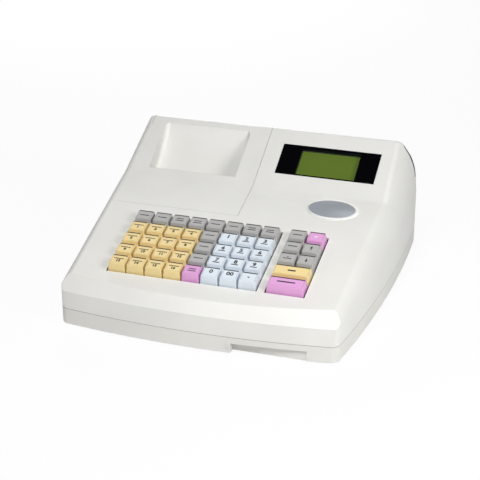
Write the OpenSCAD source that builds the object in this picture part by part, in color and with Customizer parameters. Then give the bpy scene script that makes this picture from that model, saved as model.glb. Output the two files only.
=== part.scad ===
// Ticket register: the head unit of a small electronic cash register.
// It stands alone on four rubber feet or on top of a cash drawer.
// Origin: centre of the footprint on the resting surface, X across, Y to the back, Z up.
// Lengths are in millimetres, angles in degrees.

/* [Body] */
// Overall width at the widest point of the base
body_w = 314; // [290:1:340]
// Overall depth, front bow to rear wall
body_d = 312; // [300:1:330]
// Wall thickness of the moulded housing
wall = 2.5; // [2:0.1:3.5]
// Height of the joint between the base tray and the upper case
parting_z = 18; // [14:0.5:22]
// Radius of the bowed sides seen from above
side_bow_r = 1360; // [1000:10:2000]
// Radius of the bowed front seen from above
front_bow_r = 900; // [700:10:1200]
// Radius of the upright corners
corner_r = 10; // [6:0.5:16]

/* [Sloping deck] */
// Tilt of the keyboard deck
deck_tilt = 12.16; // [8:0.01:18]
// Distance of the bend, where the display slope starts, from the rear wall
bend_back = 113; // [108:0.5:118]
// Z of that bend
bend_z = 88.3; // [84:0.1:92]
// Half width of the deck at the bend
deck_half_w = 140.9; // [136:0.1:146]
// Turn of each deck side towards the front
toe_in = 2; // [0:0.1:4]
// Radius of the rounded shoulder beside the deck
shoulder_r = 57.7; // [50:0.1:80]

/* [Display hood] */
// Tilt of the display slope
hood_tilt = 27; // [22:0.1:32]
// Half width of the hood at its top edge
hood_half_w = 141.5; // [136:0.1:146]
// Radius of the hood side
hood_side_r = 85; // [70:1:140]
// Radius of the ridge along the top
ridge_r = 6; // [4:0.1:9]
// Distance of the ridge centre line from the rear wall
ridge_back = 37.1; // [34:0.1:42]
// Slope of the back of the hood
rear_tilt = 68; // [60:0.5:72]
// Turn of each hood side towards the back
hood_toe = 2.5; // [0:0.1:3]
// Radius of the rounded ends of the ridge, seen from the front
ridge_end_r = 12; // [9:0.5:18]
// Length of the customer window down the back of the hood
customer_h = 46; // [42:0.5:50]

/* [Keyboard] */
// Distance from one key to the next
key_pitch = 19.05; // [18:0.05:20]
// Width and depth of a key skirt
key_skirt = 18.2; // [17:0.05:18.5]
// Width of a key top
key_top = 16.2; // [13:0.1:17]
// Height of the key tops above the deck
key_h = 7.5; // [5:0.1:9]
// Travel of a key
key_travel = 3.5; // [2:0.1:4.5]
// X of the centre of the left column
key_x0 = -90.35; // [-94:0.05:-86]
// Share of the free deck that lies behind the keyboard
key_share = 0.434; // [0.38:0.002:0.48]
// Extra space between the main keys and the right-hand keys
block_gap = 9.2; // [6:0.1:14]
// Space around the keys in their wells
well_gap = 1.35; // [1:0.05:2]

/* [Printer cover] */
// Reach of the cover in front of the bend
cover_reach = 52; // [46:0.5:56]
// Space between the cover and the case
cover_gap = 0.3; // [0.3:0.05:0.6]
// Angle at which the cover is drawn
cover_open = 0; // [0:1:85]
// Left edge of the finger scoop
scoop_x0 = -119; // [-124:0.5:-110]
// Right edge of the finger scoop
scoop_x1 = -22; // [-30:0.5:-18]
// Radius of the hollow floor of the scoop
scoop_r = 140; // [120:1:160]
// Distance of the lip in front of the paper slot from the bend
lip_back = 9; // [7:0.5:13]
// Width of the paper slot
slot_w = 5; // [3:0.5:7]

/* [Hidden] */
$fn = 96;
half_w = body_w / 2;
half_d = body_d / 2;
bend_y = half_d - bend_back;
ridge_y = half_d - ridge_back;
ridge_z = bend_z + (ridge_y - bend_y) * tan(hood_tilt) - ridge_r / cos(hood_tilt);
cover_front_y = bend_y - cover_reach;
lip_y = bend_y + lip_back;
// The printer bay is drawn for a rear wall at 156 and follows it.
bay_y = half_d - 156;
// The deck starts this far behind the front bow.
front_edge = 11.4;
key_block_d = 4 * key_pitch + key_skirt + 2 * well_gap;
key_v0 = cover_reach / cos(deck_tilt) + key_skirt / 2 + well_gap
    + key_share * ((cover_front_y + half_d - front_edge) / cos(deck_tilt) - key_block_d);
wide_y = 69;
foot_h = 1.5;
deck_drop = 40;
hood_drop = 50;
edge_r = 8;
window_x0 = 17.8;
window_x1 = 124.3;
window_v0 = 22.6;
window_v1 = 64.8;
window_sunk = 0.7;
lcd_x0 = 39.3;
lcd_x1 = 103;
cover_x1 = -0.25;
lug_x = -134.3;
lug_y = ridge_y - 12.9;
pin_r = 2;
barrel_r = ridge_r - 0.03;
skirt_drop = 13;
plate_top = -8;
plate_t = 2;
case_gap = 0.3;
stem = 5;
guide = 5.9;
platen_y = 47.5;
platen_z = 58;
platen_r = 5.8;
wheel_r = 7.4;
shaft_r = 2.5;
row_names = ["a", "b", "c", "d", "e"];
big = 400;

// Keys: name, column centre x, row number, width in pitches, colour.
key_grey = [0.73, 0.73, 0.71];
key_yellow = [0.96, 0.88, 0.63];
key_blue = [0.88, 0.92, 0.97];
key_pink = [0.92, 0.68, 0.91];
side_x0 = key_x0 + 8 * key_pitch + block_gap;
function main_colour(r, c) =
    r == 0 ? key_grey
    : c < 4 ? key_yellow
    : c == 4 ? (r == 4 ? key_pink : key_grey)
    : key_blue;
main_keys = [for (r = [0:4]) for (c = [0:7])
    [str("key_", row_names[r], c + 1), key_x0 + c * key_pitch, r, 1, main_colour(r, c)]];
side_keys = [
    ["key_a9", side_x0, 0, 1, key_grey],
    ["key_a10", side_x0 + key_pitch, 0, 1, key_pink],
    ["key_b9", side_x0, 1, 1, key_grey],
    ["key_b10", side_x0 + key_pitch, 1, 1, key_grey],
    ["key_c9", side_x0, 2, 1, key_grey],
    ["key_c10", side_x0 + key_pitch, 2, 1, key_grey],
    ["key_d9", side_x0 + key_pitch / 2, 3, 2, key_yellow],
    ["key_e9", side_x0 + key_pitch / 2, 4, 2, key_pink]
];
KEYS = concat(main_keys, side_keys);

// Frames of the two sloping faces.
module on_deck() {
    translate([0, bend_y, bend_z]) rotate([deck_tilt, 0, 0]) children();
}
module on_hood() {
    translate([0, bend_y, bend_z]) rotate([hood_tilt, 0, 0]) children();
}
function deck_z(y) = bend_z + (y - bend_y) * tan(deck_tilt);
function hood_z(y) = bend_z + (y - bend_y) * tan(hood_tilt);

// Side view of something, drawn as Y and Z and stretched along X.
module across(x0, x1) {
    translate([x0, 0, 0]) rotate([90, 0, 90]) linear_extrude(x1 - x0) children();
}
module box(x0, x1, y0, y1, z0, z1) {
    translate([x0, y0, z0]) cube([x1 - x0, y1 - y0, z1 - z0]);
}

// Housing outline seen from above, set in by ins.
module plan_arcs(ins) {
    intersection() {
        translate([half_w - side_bow_r, wide_y]) circle(side_bow_r - ins, $fn = 1440);
        translate([side_bow_r - half_w, wide_y]) circle(side_bow_r - ins, $fn = 1440);
        translate([0, front_bow_r - half_d]) circle(front_bow_r - ins, $fn = 1440);
        translate([-big, -big]) square([2 * big, big + half_d - ins]);
    }
}
// Centre of a front corner: it lies on a circle inside each of the two bows.
function meet(r1, x1, y1, r2, y2) =
    let (dx = 0 - x1, dy = y2 - y1, d = sqrt(dx * dx + dy * dy),
         a = (r1 * r1 - r2 * r2 + d * d) / (2 * d), h = sqrt(r1 * r1 - a * a))
    [x1 + a * dx / d - h * dy / d, y1 + a * dy / d + h * dx / d];
side_cx = half_w - side_bow_r;
front_cy = front_bow_r - half_d;
corner_a = meet(side_bow_r - corner_r, side_cx, wide_y, front_bow_r - corner_r, front_cy);
corner_f = corner_a[0] > 0 && corner_a[1] < 0 ? corner_a
    : let (dx = 0 - side_cx, dy = front_cy - wide_y, d = sqrt(dx * dx + dy * dy),
           r1 = side_bow_r - corner_r, r2 = front_bow_r - corner_r,
           a = (r1 * r1 - r2 * r2 + d * d) / (2 * d), h = sqrt(r1 * r1 - a * a))
      [side_cx + a * dx / d + h * dy / d, wide_y + a * dy / d - h * dx / d];
corner_b = [
    side_cx + sqrt(pow(side_bow_r - corner_r, 2) - pow(half_d - corner_r - wide_y, 2)),
    half_d - corner_r
];
function unit(v) = v / norm(v);
// Corner cutter: the wedge beyond two points of contact, less the round that stays.
// The round is 0.01 larger, so that it crosses the outline instead of only touching it.
module corner_cut(c, d1, d2, r, far) {
    difference() {
        polygon([c, c + (r + 6) * d1, far, c + (r + 6) * d2]);
        translate(c) circle(r + 0.01);
    }
}
module plan(ins) {
    r = corner_r - ins;
    difference() {
        plan_arcs(ins);
        for (s = [1, -1]) scale([s, 1]) {
            corner_cut(corner_f, unit(corner_f - [side_cx, wide_y]), unit(corner_f - [0, front_cy]),
                r, [half_w + 6, -half_d - 6]);
            corner_cut(corner_b, unit(corner_b - [side_cx, wide_y]), [0, 1],
                r, [half_w + 20, half_d + 20]);
        }
    }
}

// Half of the rounded cross-section below a sloping face.
module half_section(edge, arc_r, drop, ins) {
    r = arc_r - ins;
    cr = edge_r - min(ins, edge_r - 0.5);
    cx = edge - sqrt(arc_r * arc_r - drop * drop);
    reach = r - cr;
    up = drop - ins - cr;
    sx = cx + sqrt(reach * reach - up * up);
    difference() {
        intersection() {
            union() {
                translate([cx, -drop]) circle(r, $fn = 720);
                translate([-40, -160]) square([cx + r + 40 - 0.01, 160 - drop]);
                translate([-40, -160]) square([sx + 40, 160 + 1]);
            }
            translate([-40, -160]) square([big, 160 - ins]);
        }
        corner_cut([sx, -ins - cr], [0, 1], unit([sx - cx, up]), cr, [sx + cr + 8, -ins + 8]);
    }
}
module deck_mass(ins) {
    on_deck() for (s = [1, -1]) scale([s, 1, 1]) rotate([0, 0, -toe_in])
        translate([0, 36, 0]) rotate([90, 0, 0]) linear_extrude(body_d)
            half_section(deck_half_w, shoulder_r, deck_drop, ins);
}

// Side view of the hood: display slope, round ridge, rear slope, rear wall.
hood_n = [-sin(hood_tilt), cos(hood_tilt)];
rear_n = [sin(rear_tilt), cos(rear_tilt)];
ridge_c = [ridge_y, ridge_z];
module hood_side(ins) {
    r = ridge_r - ins;
    front_p = ridge_c + r * hood_n;
    rear_p = ridge_c + r * rear_n;
    rear_y = half_d - ins;
    half_turn = (hood_tilt + rear_tilt) / 2;
    apex = ridge_c + r / cos(half_turn) * [sin(rear_tilt - half_turn), cos(rear_tilt - half_turn)];
    difference() {
        polygon([
            apex, front_p - 150 * [cos(hood_tilt), sin(hood_tilt)], [-40, -20], [rear_y, -20],
            [rear_y, rear_p[1] - (rear_y - rear_p[0]) * tan(rear_tilt)]
        ]);
        corner_cut(ridge_c, hood_n, rear_n, r, apex + [0, 12]);
    }
}
// Front view of one half of the hood: flat top, round end of the ridge, leaning side.
// The side line only touches the hood near its top, at end_touch.
ridge_top = ridge_z + ridge_r;
end_lean = 27;
end_n = [cos(end_lean), sin(end_lean)];
end_touch = [hood_half_w + 3.9, ridge_top - 10.5];
module hood_front(ins) {
    r = ridge_end_r - ins;
    c = [
        end_touch[0] - (ridge_end_r + (ridge_top - ridge_end_r - end_touch[1]) * end_n[1]) / end_n[0],
        ridge_top - ridge_end_r
    ];
    p = c + r * end_n;
    difference() {
        polygon([
            [-20, -20], [-20, ridge_top - ins], [c[0] + r / end_n[0] * (1 - end_n[1]), ridge_top - ins],
            p + 300 * [end_n[1], -end_n[0]], [20, -160]
        ]);
        corner_cut(c, [0, 1], end_n, r, [c[0] + r + 8, ridge_top + 8]);
    }
}
module hood_mass(ins) {
    intersection() {
        across(-half_w - 10, half_w + 10) hood_side(ins);
        on_hood() for (s = [1, -1]) scale([s, 1, 1]) rotate([0, 0, hood_toe])
            translate([0, 160, 0]) rotate([90, 0, 0]) linear_extrude(360)
                half_section(hood_half_w, hood_side_r, hood_drop, ins - 0.01);
        for (s = [1, -1]) scale([s, 1, 1])
            translate([0, half_d + 20, 0]) rotate([90, 0, 0]) linear_extrude(body_d + 40) hood_front(ins);
    }
}

// Front bands: an upright foot, a band leaning back and a steep band up to the deck.
module front_bands(ins) {
    translate([0, front_cy, 0]) rotate_extrude($fn = 1440) polygon([
        [0, -20], [front_bow_r - ins, -20], [front_bow_r - ins, parting_z],
        [front_bow_r - 1.4 - ins, 36], [front_bow_r - 1.4 - 22.5 - ins, 62.5], [0, 62.5]
    ]);
}
module front_trim(ins) {
    // Everything behind the bands, which only shape the first part of the body.
    front_bands(ins);
    box(-half_w - 5, half_w + 5, 38 - half_d, half_d + 5, -20, 140);
}
module outer(ins) {
    intersection() {
        translate([0, 0, foot_h + (ins > 0.5 ? -30 : 0)]) linear_extrude(200) plan(ins);
        union() {
            difference() {
                deck_mass(ins);
                intersection() {
                    hood_region(ins);
                    for (s = [1, -1]) scale([s, 1, 1])
                        box(deck_half_w - ins, half_w + 10, bend_y - 60, half_d + 20, 0, 200);
                }
            }
            hood_mass(ins);
        }
        front_trim(ins);
    }
}
module shell() {
    difference() {
        outer(0);
        outer(wall);
    }
}

// Where the pieces of the housing meet.
seam_tilt = 40.4;
seam_bow = 700;
seam_w0 = 41.8539;
seam_back = [bend_y + 34, 48.5];
seam_rise = 16.3;
// Space behind the bowed seam and above the shoulder line, grown by g. The shoulder of the
// deck ends there as a narrow ledge, because the hood above it is drawn in towards the back.
module hood_region(g) {
    low = seam_back[1] - g / cos(seam_rise);
    intersection() {
        translate([0, bend_y, 0]) rotate([seam_tilt, 0, 0])
            translate([0, seam_w0 + seam_bow, -200]) cylinder(r = seam_bow + g, h = 500, $fn = 1440);
        across(-180, 180) polygon([
            [-100, low - (seam_back[0] + 100) * tan(seam_rise)],
            [200, low + (200 - seam_back[0]) * tan(seam_rise)],
            [200, 200], [-100, 200]
        ]);
    }
}
// Space of the printer cover, seen from the side, grown by g.
module cover_side(g) {
    front_z = deck_z(cover_front_y);
    lean = tan(22);
    polygon([
        [cover_front_y - g - 25 * lean, front_z + 25],
        [cover_front_y - g + (skirt_drop + g) * lean, front_z - skirt_drop - g],
        [bend_y + 3, bend_z - skirt_drop - g],
        [lug_y - 1 + g, hood_z(lug_y - 1 + g) - skirt_drop - g],
        [ridge_y - 2, ridge_z - 8],
        [ridge_y, ridge_z],
        [ridge_y + 30 * hood_n[0], ridge_z + 30 * hood_n[1]]
    ]);
}
module cover_region(g) {
    difference() {
        across(-180, cover_x1 + g) cover_side(g);
        box(-180, lug_x - g, lug_y + g, 200, 60, 200);
    }
}

// Keyboard wells.
main_x0 = key_x0 - key_skirt / 2 - well_gap;
main_x1 = key_x0 + 7 * key_pitch + key_skirt / 2 + well_gap;
side_w0 = side_x0 - key_skirt / 2 - well_gap;
side_w1 = side_x0 + key_pitch + key_skirt / 2 + well_gap;
well_v1 = -key_v0 + key_skirt / 2 + well_gap;
well_v0 = -key_v0 - 4 * key_pitch - key_skirt / 2 - well_gap;
module wells(n0, n1, g) {
    on_deck() {
        box(main_x0 - g, main_x1 + g, well_v0 - g, well_v1 + g, n0, n1);
        box(side_w0 - g, side_w1 + g, well_v0 - g, well_v1 + g, n0, n1);
    }
}
// Space of the key frame below the deck, grown by g.
module key_bed(g) {
    on_deck() box(main_x0 - 2 - g, side_w1 + 2 + g, well_v0 - 2 - g, well_v1 + 2 + g,
        plate_top - plate_t - g, -wall);
}

// Screw posts shared by the base and the upper case.
posts = [for (s = [-1, 1]) each [
    [s * (half_w - 29), 40 - half_d], [s * (half_w - 15), half_d - 141], [s * (half_w - 19), half_d - 18]
]];
foot_spots = [for (s = [-1, 1]) each [[s * (half_w - 45), 36 - half_d], [s * (half_w - 41), half_d - 30]]];

module feet() color([0.12, 0.12, 0.12]) {
    for (p = foot_spots) translate([p[0], p[1], 0]) cylinder(r = 8, h = foot_h + 2);
}

notch_x0 = 33;
notch_x1 = 111;
notch_top = 11.5;
module base_tray() color([0.87, 0.87, 0.85]) {
    difference() {
        union() {
            difference() {
                intersection() {
                    outer(0);
                    box(-180, 180, -180, 180, foot_h, parting_z);
                }
                translate([0, 0, foot_h + wall]) linear_extrude(40) plan(wall);
            }
            // inner wall behind the front notch
            intersection() {
                outer(1);
                box(notch_x0 - 3, notch_x1 + 3, -half_d - 4, 18 - half_d, foot_h, parting_z - 1);
            }
            for (p = posts) translate([p[0], p[1], foot_h]) cylinder(r = 5, h = parting_z - foot_h);
            // ribs across the floor
            for (y = [-70, 0, 70]) box(7 - half_w, half_w - 7, y - 1, y + 1, foot_h + 1, 9);
            for (x = [-60, 60]) box(x - 1, x + 1, 16 - half_d, half_d - 6, foot_h + 1, 9);
            // raised lip at the left end of the notch
            intersection() {
                translate([notch_x0 + 2.5, 1.6 - half_d, 9]) rotate([90, 0, 0]) cylinder(r = 2.6, h = 1.9);
                box(-180, 180, 0.05 - half_d, 0, 0, 30);
            }
        }
        // front notch
        box(notch_x0 + 5, notch_x1, -half_d - 14, 8 - half_d, -5, notch_top);
        // pockets for the feet
        for (p = foot_spots) translate([p[0], p[1], -5]) cylinder(r = 8, h = 5 + foot_h + 2);
        // screw holes with sunk heads
        for (p = posts) translate([p[0], p[1], 0]) {
            translate([0, 0, -5]) cylinder(r = 3.6, h = 5 + foot_h + 8);
            cylinder(r = 1.7, h = 40);
        }
        // vent slots below the power supply
        for (i = [0:8]) box(64 + 6 * i, 67 + 6 * i, 30, 62, -5, 20);
        // cable hole in the rear wall
        translate([96, half_d + 14, 10]) rotate([90, 0, 0]) cylinder(r = 3.6, h = 30);
    }
    // bush of the cable hole
    difference() {
        translate([96, half_d, 10]) rotate([90, 0, 0]) cylinder(r = 6, h = 8);
        translate([96, half_d + 14, 10]) rotate([90, 0, 0]) cylinder(r = 3.6, h = 30);
    }
}

// Place of the cover's front edge, measured along the deck.
ledge_v = (cover_front_y - bend_y) / cos(deck_tilt);
module upper_case() color([0.93, 0.93, 0.9]) {
    difference() {
        union() {
            difference() {
                shell();
                hood_region(0);
                cover_region(cover_gap);
                box(-200, 200, -200, 200, -50, parting_z);
            }
            // posts that take the screws from below
            for (p = posts) {
                translate([p[0], p[1], parting_z]) cylinder(r = 4.6, h = 18);
                intersection() {
                    outer(1);
                    box(min(p[0], 2 * p[0]), max(p[0], 2 * p[0]), p[1] - 1, p[1] + 1, parting_z, parting_z + 17);
                }
            }
            // ledge that carries the front edge of the printer cover
            on_deck() {
                box(-128, 6, ledge_v - 12, ledge_v - 1.5, -9, -wall + 0.4);
                box(-128, 6, ledge_v - 12, ledge_v + 6, -9, -wall - 0.4);
            }
        }
        wells(-20, 10, 0);
        key_bed(case_gap);
        for (p = posts) translate([p[0], p[1], 0]) cylinder(r = 1.5, h = 33);
    }
}

rear_p0 = ridge_c + ridge_r * rear_n;
rear_t = [cos(rear_tilt), -sin(rear_tilt)];
// Side view of the customer window: a wedge lying on the back of the hood, thicker at its foot.
module rear_wedge(g) {
    top = rear_p0 + (2 - g) * rear_t;
    foot = rear_p0 + (2 + customer_h + g) * rear_t;
    polygon([
        top + 10 * rear_n,
        top - (2 + g) * rear_n,
        foot - 3 * rear_t - (4.2 + g) * rear_n,
        foot + 10 * rear_n
    ]);
}
customer_x0 = 12;
// Bevelled rim of the display opening, seen from one side.
module rim_side(a, b) {
    polygon([[a + 0.1, -window_sunk], [b - 0.1, -window_sunk], [b + 1.6, 1], [a - 1.6, 1]]);
}

module display_hood() color([0.93, 0.93, 0.9]) {
    difference() {
        union() {
            intersection() {
                shell();
                hood_region(0);
            }
            intersection() {
                outer(1);
                hood_region(0);
                union() {
                    // wall between the printer bay and the display
                    box(0.25, 3.25, bend_y - 23, half_d - 4, 40, 130);
                    // backing of the customer window
                    across(3, 148) polygon([
                        rear_p0 - 4.5 * rear_n,
                        rear_p0 - 8 * rear_n,
                        rear_p0 - 8 * rear_n + (customer_h + 5) * rear_t,
                        rear_p0 + (customer_h + 8) * rear_t,
                        rear_p0 + 12 * rear_t
                    ]);
                }
            }
            // block that holds the left end of the cover hinge
            intersection() {
                outer(0);
                hood_region(0);
                box(-half_w, lug_x, lug_y, ridge_y + 12, ridge_z - 14, ridge_z + 20);
            }
            // trough behind the hinge barrel
            intersection() {
                difference() {
                    translate([lug_x - 1, ridge_y, ridge_z]) rotate([0, 90, 0])
                        cylinder(r = ridge_r + 2.6, h = 1 + cover_x1 + 1 - lug_x);
                    translate([-200, ridge_y, ridge_z]) rotate([0, 90, 0]) cylinder(r = ridge_r + 0.5, h = 400);
                }
                across(-180, 180) polygon([
                    ridge_c, ridge_c + 20 * [cos(35), sin(35)], ridge_c + [22, -6],
                    ridge_c + [14, -20], ridge_c + [-3, -20]
                ]);
                outer(0.4);
            }
        }
        cover_region(cover_gap);
        // groove for the hinge barrel
        translate([lug_x - cover_gap, ridge_y, ridge_z]) rotate([0, 90, 0])
            cylinder(r = ridge_r + 0.4, h = cover_x1 - lug_x + 2 * cover_gap);
        // bearings of the hinge pins
        translate([lug_x - 5, ridge_y, ridge_z]) rotate([0, 90, 0]) cylinder(r = pin_r + 0.05, h = 8);
        translate([-1, ridge_y, ridge_z]) rotate([0, 90, 0]) cylinder(r = pin_r + 0.05, h = 5.5);
        // opening of the display with a sunk rim
        on_hood() {
            box(window_x0, window_x1, window_v0, window_v1, -12, 5);
            intersection() {
                rotate([90, 0, 90]) translate([0, 0, -200]) linear_extrude(500)
                    rim_side(window_v0, window_v1);
                rotate([90, 0, 0]) translate([0, 0, -200]) linear_extrude(500)
                    rim_side(window_x0, window_x1);
            }
        }
        // seat and light opening of the customer window
        across(customer_x0, 180) rear_wedge(0);
        translate([0, rear_p0[0], rear_p0[1]]) rotate([-rear_tilt, 0, 0]) box(36, 108, 14, 38, -20, 5);
    }
}

module customer_window() color([0.1, 0.1, 0.13]) {
    intersection() {
        outer(0);
        across(customer_x0, 180) rear_wedge(0);
    }
}

module display_window() color([0.12, 0.13, 0.1]) {
    on_hood() {
        // flange glued behind the opening, and the step that fills it
        box(window_x0 - 1.2, window_x1 + 1.2, window_v0 - 1.2, window_v1 + 1.2, -wall - 1.5, -wall - 0.02);
        box(window_x0 + 0.15, window_x1 - 0.15, window_v0 + 0.15, window_v1 - 0.15, -wall - 0.5, -window_sunk);
    }
}

module display_unit() color([0.37, 0.47, 0.15]) {
    on_hood() {
        difference() {
            box(window_x0 + 4, window_x1 - 4, window_v0 + 0.5, window_v1 - 0.5, -wall - 9, -wall - 1.5);
            box(lcd_x0, lcd_x1, window_v0 + 2, window_v1 - 4, -wall - 3, 0);
        }
        // board under the glass
        box(window_x0 + 1, window_x1 - 1, window_v0 - 6, window_v1 + 1, -wall - 10.6, -wall - 9);
    }
    // rear digits, held to the same board by two arms
    translate([0, rear_p0[0], rear_p0[1]]) rotate([-rear_tilt, 0, 0]) {
        box(34, 110, 12.5, 39.5, -14, -8.3);
        box(30, 114, 10, 42, -15.6, -14);
    }
    for (x = [40, 104]) across(x, x + 4) polygon([
        [bend_y + (window_v0 + 20) * cos(hood_tilt), hood_z(bend_y) + (window_v0 + 20) * sin(hood_tilt) - 13],
        [bend_y + window_v1 * cos(hood_tilt), hood_z(bend_y) + window_v1 * sin(hood_tilt) - 11.9],
        rear_p0 + 20 * rear_t - 15 * rear_n,
        rear_p0 + 34 * rear_t - 15 * rear_n,
        [bend_y + (window_v0 + 20) * cos(hood_tilt), hood_z(bend_y) + (window_v0 + 20) * sin(hood_tilt) - 24]
    ]);
}

// Printer cover with its finger scoop, drawn at an opening angle.
arc_c = [bend_y - 52.5, bend_z + 105.2];
function arc_at(y, r) = arc_c[1] - sqrt(r * r - pow(y - arc_c[0], 2));
scoop_top = bend_y + 66;
scoop_round = 5;
// The tub ends above the feed roller.
tub_z = 66.6;
// The hollow, and with g the outside of its wall: a band turned about the arc's centre,
// with the two long corners of its floor rounded.
module scoop_sweep(g) {
    r = scoop_r + g;
    x0 = scoop_x0 - g;
    x1 = scoop_x1 + g;
    f = scoop_round + g;
    translate([0, arc_c[0], arc_c[1]]) rotate([0, 90, 0]) rotate_extrude($fn = 720) difference() {
        translate([60, x0]) square([r - 60, x1 - x0]);
        corner_cut([r - f, x0 + f], [1, 0], [0, -1], f, [r + 6, x0 - 6]);
        corner_cut([r - f, x1 - f], [1, 0], [0, 1], f, [r + 6, x1 + 6]);
    }
}
module scoop_hollow() {
    intersection() {
        scoop_sweep(0);
        across(scoop_x0 - 5, scoop_x1 + 5) polygon([
            [lip_y, 150], [lip_y, 60], [scoop_top + 2, 60], [scoop_top + 2, 150]
        ]);
    }
    // slot that the paper comes out of
    box(scoop_x0 + scoop_round, scoop_x1 - scoop_round, lip_y, lip_y + slot_w, 40, 80);
}
module scoop_tub() {
    // wall round the hollow
    intersection() {
        scoop_sweep(2);
        across(scoop_x0 - 5, scoop_x1 + 5) polygon([
            [lip_y - 2.2, 150], [lip_y - 2.2, tub_z], [scoop_top + 4, tub_z], [scoop_top + 4, 150]
        ]);
        outer(1);
    }
}
module cover_body() {
    difference() {
        union() {
            intersection() {
                shell();
                cover_region(0);
            }
            scoop_tub();
            // stiffening ribs under the flat part
            intersection() {
                outer(1.2);
                union() {
                    for (x = [scoop_x0, -70, scoop_x1 + 1]) box(x - 1, x + 1, cover_front_y + 8, lip_y - 1, 60, 100);
                    box(scoop_x0, scoop_x1 + 1, bend_y - 23, bend_y - 21, 60, 100);
                    box(cover_x1 - 2.4, cover_x1, cover_front_y + 8, ridge_y - 8, 60, 124);
                }
                on_deck_band();
            }
            // hinge barrel and its two pins
            translate([lug_x + 0.5, ridge_y, ridge_z]) rotate([0, 90, 0])
                cylinder(r = barrel_r, h = cover_x1 - lug_x - 0.5);
            translate([lug_x - 4, ridge_y, ridge_z]) rotate([0, 90, 0])
                cylinder(r = pin_r, h = cover_x1 - lug_x + 7.5);
        }
        scoop_hollow();
    }
}
// Depth reached by the ribs under the cover.
module on_deck_band() {
    union() {
        on_deck() box(-180, 180, -100, 6, -8, 5);
        on_hood() box(-180, 180, -6, 90, -8, 5);
    }
}
module printer_cover() color([0.94, 0.94, 0.91]) {
    translate([0, ridge_y, ridge_z]) rotate([-cover_open, 0, 0]) translate([0, -ridge_y, -ridge_z])
        cover_body();
}

// Keyboard. The frame keeps clear of the front wall of the case.
module key_frame() color([0.78, 0.78, 0.76]) {
    difference() {
        intersection() {
            key_bed(0);
            front_trim(wall + case_gap);
        }
        intersection() {
            wells(plate_top, 10, 0);
            on_deck() box(-200, 200, -200, 0, plate_top, 10);
        }
        on_deck() for (k = KEYS)
            box(k[1] - guide / 2, k[1] + guide / 2, -key_v0 - k[2] * key_pitch - guide / 2,
                -key_v0 - k[2] * key_pitch + guide / 2, -20, 0);
    }
    // circuit board under the switches, on short pillars
    on_deck() {
        box(main_x0, side_w1, well_v0, well_v1, -19, -17.4);
        for (x = [main_x0 + 2, main_x1 + 3, side_w1 - 4]) for (v = [well_v0 + 2, well_v1 - 4])
            box(x - 2, x + 2, v, v + 3, -18, -9);
    }
}

// One key: a tapered cap, hollow below, with a clear lid line and a guide stem.
module key_shape(w, grow, n0, n1) {
    // w is the width of the skirt, grow is negative for the hollow
    top_in = (key_skirt - key_top) / 2;
    intersection() {
        rotate([90, 0, 90]) translate([0, 0, -w]) linear_extrude(2 * w) polygon([
            [-key_skirt / 2 - grow, n0], [key_skirt / 2 + grow, n0],
            [key_skirt / 2 - 1.5 + grow, n1], [-key_skirt / 2 + 2.4 - grow, n1]
        ]);
        rotate([90, 0, 0]) translate([0, 0, -w]) linear_extrude(2 * w) polygon([
            [-w / 2 - grow, n0], [w / 2 + grow, n0],
            [w / 2 - top_in + grow, n1], [-w / 2 + top_in - grow, n1]
        ]);
    }
}
module key_piece(k) color(k[4]) {
    w = key_skirt + (k[3] - 1) * key_pitch;
    on_deck() translate([k[1], -key_v0 - k[2] * key_pitch, 0]) {
        difference() {
            key_shape(w, 0, -2, key_h);
            key_shape(w, -1.3, -2.01, key_h - 1.6);
        }
        box(-stem / 2, stem / 2, -stem / 2, stem / 2, -12.5, key_h - 1);
    }
}

// Receipt printer inside the bay.
frame_x0 = -104;
frame_x1 = -37;
roll_y = 100;
roll_z = 58;
roll_r = 30;
module printer_frame() color([0.25, 0.26, 0.28]) {
    translate([0, bay_y, 0]) difference() {
        union() {
            // side plates
            for (x = [frame_x0, frame_x1 - 2]) across(x, x + 2) difference() {
                polygon([
                    [30, 11], [136, 11], [136, 44], [126, 56], [74, 56], [68, 50],
                    [62, 50], [57, 66], [38, 66], [30, 56]
                ]);
                translate([roll_y, roll_z]) circle(22);
            }
            // cradle of the paper roll, a flat floor between two ramps
            across(frame_x0 + 1, frame_x1 - 1) polygon([
                [70, 24], [130, 24], [130, 36], [128, 36], [119, roll_z - roll_r + 2],
                [81, roll_z - roll_r + 2], [72, 36], [70, 36]
            ]);
            // floor plate, cradle feet and front beam
            box(frame_x0 + 1, frame_x1 - 1, 31, 135, 11, 13);
            for (y = [74, 123]) box(frame_x0 + 1, frame_x1 - 1, y, y + 3, 12, 25);
            across(frame_x0 + 1, frame_x1 - 1) polygon([[31, 12], [34, 12], [34, 50], [38, 58], [38, 64], [31, 57]]);
            // print head block behind the roller
            across(frame_x0 + 1, frame_x1 - 1) polygon([[56.5, 30], [66, 30], [66, 48], [56.5, 53]]);
            box(frame_x0 + 1, frame_x1 - 1, 59, 62, 12, 31);
            // posts down to the floor
            for (x = [frame_x0 + 6, frame_x1 - 6]) for (y = [40, 128])
                translate([x, y, foot_h + wall]) cylinder(r = 4, h = 8);
            // tear bar
            across(frame_x0 + 1, frame_x1 - 1) polygon([[37, 64.5], [46, 64.5], [49.4, 66.4], [37, 66.4]]);
        }
        // bearings of the feed roller
        translate([frame_x0 - 5, platen_y, platen_z]) rotate([0, 90, 0])
            cylinder(r = shaft_r + 0.05, h = frame_x1 - frame_x0 + 23);
    }
}
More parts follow.
